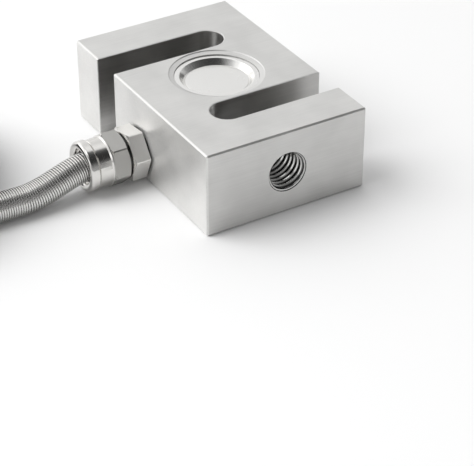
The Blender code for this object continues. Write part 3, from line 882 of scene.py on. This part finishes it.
def make_gland_body():
    middle = (hex_start + hex_end) / 2
    profile = [
        (0, neck_end),
        (neck_radius - end_chamfer, neck_end),
        (neck_radius, neck_end - end_chamfer),
        (neck_radius, middle),
        (stub_radius, middle),
        (stub_radius, end_chamfer - stub_length),
        (stub_radius - end_chamfer, -stub_length),
        (0, -stub_length),
    ]
    body = turned("gland_body_piece", profile, middle_sides, place=out_from_face())
    flats = hexagon("gland_hexagon", hex_start, hex_end, body_hex_turn, False, True)
    combine(body, [flats], "UNION")
    inside = [
        (0, neck_end + beyond),
        (bush_seat_radius, neck_end + beyond),
        (bush_seat_radius, bush_start - bush_gap),
        (cable_way_radius, bush_start - bush_gap),
        (cable_way_radius, -stub_length - beyond),
        (0, -stub_length - beyond),
    ]
    combine(body, [turned("cut_gland", inside, narrow_sides, place=out_from_face())])
    finish_piece(shade(body), nickel, "nickel", "gland_body")
    # The body hexagon's flats take the lighter copy of the nickel: painted light.
    give_finish(body, painted_light_flats, hex_start, hex_end, hex_flats / 2 - facet_sag)
    # The neck's faces take the nearly black colour: painted shade.
    give_finish(body, painted_shade_neck, hex_end, neck_end, neck_radius - facet_sag)
    return body


def make_gland_nut():
    core = (nut_bore_radius + collar_radius) / 2
    profile = [(0, nut_mouth), (ring_radius - 2 * ring_round, nut_mouth)]
    ring_middle = (ring_radius - ring_round, nut_end - ring_round)
    profile += arc(*ring_middle, ring_round, 180, 0, ring_steps)
    profile += [
        (ring_radius, collar_end + nut_groove / 2),
        (ring_radius - ring_edge, collar_end + nut_groove / 4),
        (collar_radius - nut_groove, collar_end),
        (collar_radius, collar_end - nut_groove),
        (collar_radius, nut_hex_end + nut_bead),
        (collar_radius + nut_bead, nut_hex_end),
        (collar_radius + nut_bead, nut_hex_end - nut_bead),
        (core, nut_hex_end - nut_bead),
        (core, nut_start),
        (0, nut_start),
    ]
    nut = turned("gland_nut_piece", profile, wide_sides, place=out_from_face())
    flats = hexagon("nut_hexagon", nut_start, nut_hex_end, nut_hex_turn, True, True)
    combine(nut, [flats], "UNION")
    hole = guard_radius + guard_clearance
    lip = cable_radius + cable_clearance
    inside = [
        (0, nut_mouth + beyond),
        (hole, nut_mouth + beyond),
        (hole, nut_lip_end),
        (lip, nut_lip_end),
        (lip, nut_shoulder),
        (nut_bore_radius, nut_shoulder),
        (nut_bore_radius, nut_start - beyond),
        (0, nut_start - beyond),
    ]
    combine(nut, [turned("cut_nut", inside, middle_sides, place=out_from_face())])
    finish_piece(shade(nut), nickel, "nickel", "gland_nut")
    # The nut hexagon's flats take the darker copy of the nickel: painted shade.
    give_finish(nut, painted_shade_flats, nut_start, nut_hex_end, hex_flats / 2 - facet_sag)
    return nut


def guard_middle(out):
    """The middle of the spring guard, at a distance out from the -X face: it sags to rest."""
    share = smoothstep((out - guard_bend_start) / guard_bend_length)
    drop = (gland_height - guard_rest_height) * share
    return Vector((-half_width - out, -guard_aside * share, gland_height - drop))


def make_guard():
    across = guard_radius - guard_wire / 2
    turns = int((guard_length - guard_wire) / guard_pitch)
    side = Vector((0, 1, 0))
    line = []
    for i in range(turns * guard_steps + 1):
        angle = 2 * math.pi * i / guard_steps
        out = guard_start + guard_wire / 2 + guard_pitch * i / guard_steps
        ahead = guard_middle(out + guard_pitch / 2) - guard_middle(out - guard_pitch / 2)
        up = ahead.cross(side).normalized()
        level = up.cross(ahead).normalized()
        line.append(guard_middle(out) + across * (math.cos(angle) * level + math.sin(angle) * up))
    guard = tube("guard_coil", line, guard_wire / 2, wire_roundness)
    return finish_piece(guard, guard_steel, "guard_steel", "spring_guard")


# Cable


def at_coil(angle, radius, height):
    """A point given by its angle round the coil, its distance from the middle and its height."""
    return Vector((coil_x + radius * math.cos(angle), coil_y + radius * math.sin(angle), height))


def coil_moves():
    """When the cable changes lane or row: lists of (turns so far, lane or row) steps."""
    lanes = []
    rows = []
    for row in range(coil_rows):
        shift = 2 * row * jog
        inward = row % 2 == 0
        for k in range(1, coil_lanes):
            end = row * coil_lanes + k - shift
            lanes.append((end - jog, k if inward else coil_lanes - 1 - k))
        if row + 1 < coil_rows:
            rows.append(((row + 1) * coil_lanes - shift - 2 * jog, row + 1))
    return lanes, rows


def stepped(moves, turns):
    """The lane or row at a number of turns, moving smoothly over a jog at each step."""
    now = 0
    for start, after in moves:
        share = smoothstep((turns - start) / jog)
        now += (after - now) * share
    return now


def coil_line():
    lanes, rows = coil_moves()
    line = []
    steps = round(coil_turns * turn_points)
    for i in range(steps + 1):
        turns = coil_turns * i / steps
        radius = lane_outer - lane_pitch * stepped(lanes, turns)
        height = row_low + lane_pitch * stepped(rows, turns)
        line.append(at_coil(-math.pi / 2 - 2 * math.pi * turns, radius, height))
    return line


def make_cable():
    """The whole cable as one line: from the gland, through its coil, to its free end."""
    route = []
    out = cable_start
    while out < guard_start + guard_length:
        route.append(guard_middle(out))
        out += route_step
    route.append(guard_middle(guard_start + guard_length))
    route.append(Vector(lead_end))
    line = smooth_line([*route, coil_line()[0]], route_step)[:-1] + coil_line()
    ahead = Vector((math.sin(tail_angle), -math.cos(tail_angle), 0))
    right = Vector((ahead.y, -ahead.x, 0))
    floor_point = Vector((line[-1].x, line[-1].y, 0))
    tail = [line[-1]]
    for along, aside, height in tail_route:
        tail.append(floor_point + ahead * along + right * aside + Vector((0, 0, height)))
    line += smooth_line(tail, route_step)[1:]
    cable = tube("cable", line, cable_radius, cable_roundness)
    finish_piece(cable, sheath, "cable_sheath", "cable_lead", "cable_coil", "cable_tail")
    return cable, line


def make_free_wires(cable_line):
    """The bared end of the cable: its cores and the shield's drain wire, fanned out."""
    end = Vector(cable_line[-1])
    ahead = (end - Vector(cable_line[-2])).normalized()
    ahead.z = 0
    side = ahead.cross(Vector((0, 0, 1)))
    wires = []
    for number, colour in enumerate(["red", "black", None, "green", "white"]):
        lane = (number - 2) * core_spacing
        fan = (number - 2) * core_fan
        line = [
            end - ahead * core_hidden + side * lane,
            end + ahead * core_straight + side * (lane + fan * first_fan),
        ]
        for share in fan_shares:
            place = end + ahead * core_free_length * share + side * (lane + fan * share)
            place.z = core_radius + floor_gap
            line.append(place)
        line = smooth_line(line, core_step)
        if colour is None:
            wire = tube("drain_strands", line, core_radius, wire_roundness)
            wires.append(finish_piece(wire, tinned, "tinned_copper", "drain_wire"))
            continue
        covered = line[:-bare_steps]
        wire = tube(f"core_tail_{colour}", covered, core_radius, wire_roundness)
        finish_piece(wire, core_finishes[colour], f"core_{colour}", f"core_end_{colour}")
        bare = line[-bare_steps - 1 :]
        strand_radius = core_radius * strand_share
        tip = tube(f"core_tip_{colour}", bare, strand_radius, wire_roundness)
        finish_piece(tip, tinned, "tinned_copper")
        wires += [wire, tip]
    return wires


def make_strap():
    """The strap round the coil's bundle of turns, with its free end lapped over itself."""
    inner = strap_half + strap_bulge
    corner = strap_corner
    loop = [(0, strap_half)]
    loop += arc(corner - inner, strap_half - corner, corner, 90, 180, strap_steps)
    loop += arc(corner - inner, corner - strap_half, corner, 180, 270, strap_steps)
    loop += arc(strap_half - corner, corner - strap_half, corner, 270, 360, strap_steps)
    raised = strap_half + strap_thickness
    loop += arc(raised - corner, strap_half - corner, corner, 0, 90, strap_steps)
    line = [Vector(p) for p in loop]
    for i in range(lap_steps + 1):
        share = i / lap_steps
        line.append(Vector((strap_lap_start - strap_lap * share, raised + strap_gap)))
    points = []
    for i, point in enumerate(line):
        before = line[max(0, i - 1)]
        after = line[min(len(line) - 1, i + 1)]
        ahead = (after - before).normalized()
        normal = Vector((ahead.y, -ahead.x)) * strap_thickness
        for place in (point, point + normal):
            for y in (-strap_half_width, strap_half_width):
                points.append((place.x, y, place.y))
    faces = []
    for i in range(len(line) - 1):
        a = 4 * i
        b = a + 4
        for first, second in ((0, 1), (1, 3), (3, 2), (2, 0)):
            faces.append((a + first, a + second, b + second, b + first))
    last = 4 * (len(line) - 1)
    faces.append((0, 2, 3, 1))
    faces.append((last, last + 1, last + 3, last + 2))
    middle = at_coil(strap_angle, bundle_radius, bundle_height)
    place = Matrix.Translation(middle) @ Matrix.Rotation(strap_angle, 4, "Z")
    strap = solid("strap", points, faces, place)
    bevel = strap.modifiers.new("Edges", "BEVEL")
    bevel.width = strap_edge
    bevel.segments = 2
    bevel.limit_method = "ANGLE"
    return finish_piece(strap, strap_cloth, "strap_cloth", "coil_strap")


# Pieces under the covers and inside the gland, which stay as they were packed


def from_middle(tree):
    """How far a point is from the middle of the body's thickness, up or down."""
    coordinates = shader_node(tree, "ShaderNodeTexCoord")
    split = shader_node(tree, "ShaderNodeSeparateXYZ", Vector=coordinates.outputs["Object"])
    middle = math_node(tree, "SUBTRACT", split.outputs["Z"], thickness / 2)
    return math_node(tree, "ABSOLUTE", middle)


def topped(name, below, above, height):
    """A material for a flat piece whose metal parts stand higher than a height over the web."""
    material, tree, shader = new_material(name)
    share = math_node(tree, "GREATER_THAN", from_middle(tree), web_half + height)
    grain = spread(tree, noise(tree, (1500, 1500, 1500)), 0, 1)
    low = tuple(c * (1 - patch_depth) for c in below) + (1,)
    high = tuple(min(1, c * (1 + patch_depth)) for c in below) + (1,)
    base = mix_colour(tree, grain, low, high)
    tree.links.new(mix_colour(tree, share, base, (*above, 1)), shader.inputs["Base Color"])
    tree.links.new(share, shader.inputs["Metallic"])
    tree.links.new(mix_value(tree, share, 0.45, 0.3), shader.inputs["Roughness"])
    return material


def dress(finish, *names):
    for name in names:
        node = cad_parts[name]
        node.data.materials.clear()
        node.data.materials.append(finish)


def dress_inside():
    foil = topped("gauge_foil", (0.55, 0.33, 0.08), (0.55, 0.50, 0.42), foil_height)
    board = topped("board_green", (0.02, 0.18, 0.06), (0.72, 0.72, 0.70), pad_height)
    chip = moulded("resistor_body", (0.03, 0.03, 0.03), 0.5, 4000, 0.2)
    sleeve = moulded("lead_sleeve", (0.75, 0.72, 0.62), 0.5, 4000, 0.3)
    enamel = moulded("link_enamel", (0.35, 0.09, 0.03), 0.25, 4000, 0.05)
    for level in ("upper", "lower"):
        dress(board, f"terminal_board_{level}")
        for hand in ("left", "right"):
            dress(foil, f"gauge_{level}_{hand}")
            dress(sleeve, f"gauge_lead_{level}_{hand}")
    dress(chip, "span_resistor_left", "span_resistor_right")
    for number in range(1, 5):
        dress(enamel, f"link_wire_{number}")
    for colour, finish in core_finishes.items():
        dress(finish, f"core_{colour}")
    dress(rubber, "seal_bush")
    dress(nickel, "thrust_washer")
    dress(sheath, "cable_entry")


# Room, light and camera


def make_floor():
    material, _, shader = new_material("floor")
    shader.inputs["Base Color"].default_value = (0.86, 0.86, 0.86, 1)
    shader.inputs["Roughness"].default_value = 0.9
    shader.inputs["Specular IOR Level"].default_value = 0.1
    corners = []
    for x, y in ((-1, -1), (1, -1), (1, 1), (-1, 1)):
        corners.append((x * floor_reach, y * floor_reach, -floor_drop))
    floor = solid("floor", corners, [(0, 1, 2, 3)])
    floor.data.materials.append(material)


def make_world():
    world = bpy.data.worlds.new("studio")
    bpy.context.scene.world = world
    world.use_nodes = True
    tree = world.node_tree
    tree.nodes.clear()
    coordinates = shader_node(tree, "ShaderNodeTexCoord")
    direction = coordinates.outputs["Generated"]

    split = shader_node(tree, "ShaderNodeSeparateXYZ", Vector=direction)

    def ramp(value, low, high, at_low, at_high):
        """Goes smoothly from one level to another as a value goes from low to high."""
        limits = {"From Min": low, "From Max": high, "To Min": at_low, "To Max": at_high}
        settings = {"interpolation_type": "SMOOTHSTEP", "clamp": True}
        return shader_node(
            tree, "ShaderNodeMapRange", settings, Value=value, **limits
        ).outputs["Result"]

    def lobe(towards, sharpness):
        """1 in one direction, falling off smoothly away from it."""
        unit = Vector(towards).normalized()
        dot = shader_node(
            tree, "ShaderNodeVectorMath", {"operation": "DOT_PRODUCT"}, _0=direction, _1=unit
        ).outputs["Value"]
        return math_node(tree, "POWER", math_node(tree, "MAXIMUM", dot, 0.0), sharpness)

    behind = ramp(split.outputs["Y"], *back_edge, 0.0, 1.0)
    front = ramp(split.outputs["Z"], *front_heights, front_level, overhead_level)
    level = mix_value(tree, behind, front, back_level)
    for towards, sharpness, strength in world_lobes:
        share = math_node(tree, "MULTIPLY", lobe(towards, sharpness), strength)
        level = math_node(tree, "ADD", share, level)
    colour = shader_node(
        tree, "ShaderNodeCombineColor", Red=level, Green=level, Blue=level
    ).outputs["Color"]
    background = shader_node(tree, "ShaderNodeBackground", Color=colour, Strength=1.0)
    output = shader_node(tree, "ShaderNodeOutputWorld")
    tree.links.new(background.outputs["Background"], output.inputs["Surface"])


def make_lamp(name, place, size, power):
    """A square lamp that lights surfaces without showing in their reflections."""
    data = bpy.data.lights.new(name, "AREA")
    data.size = size
    data.energy = power
    lamp = add(name, data)
    lamp.location = place
    lamp.rotation_mode = "QUATERNION"
    lamp.rotation_quaternion = (Vector(lamp_aim) - Vector(place)).to_track_quat("-Z", "Y")
    lamp.visible_glossy = False
    lamp.visible_camera = False


def make_camera():
    data = bpy.data.cameras.new("camera")
    data.sensor_width = camera_sensor
    data.lens = camera_lens
    data.clip_start = 0.01
    data.clip_end = 20
    camera = add("camera", data)
    ahead = Vector(camera_ahead).normalized()
    right = Vector(camera_right).normalized()
    up = right.cross(ahead)
    axes = Matrix((right, up, -ahead)).transposed()
    camera.matrix_world = Matrix.Translation(camera_place) @ axes.to_4x4()
    bpy.context.scene.camera = camera


for row_name, is_upper in (("upper", True), ("lower", False)):
    make_cover(f"cover_{row_name}_sheet", f"cover_{row_name}", is_upper)
make_body()
inside_pieces = [
    make_gasket(),
    make_gland_body(),
    make_gland_nut(),
    make_guard(),
    make_strap(),
]
cable_piece, cable_middle = make_cable()
inside_pieces += make_free_wires(cable_middle)
inside_pieces += [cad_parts[name] for name in ("cable_entry", "seal_bush", "thrust_washer")]
dress_inside()
make_floor()
make_world()
for lamp_settings in lamps:
    make_lamp(*lamp_settings)
make_camera()
bpy.context.scene.view_settings.view_transform = "Standard"
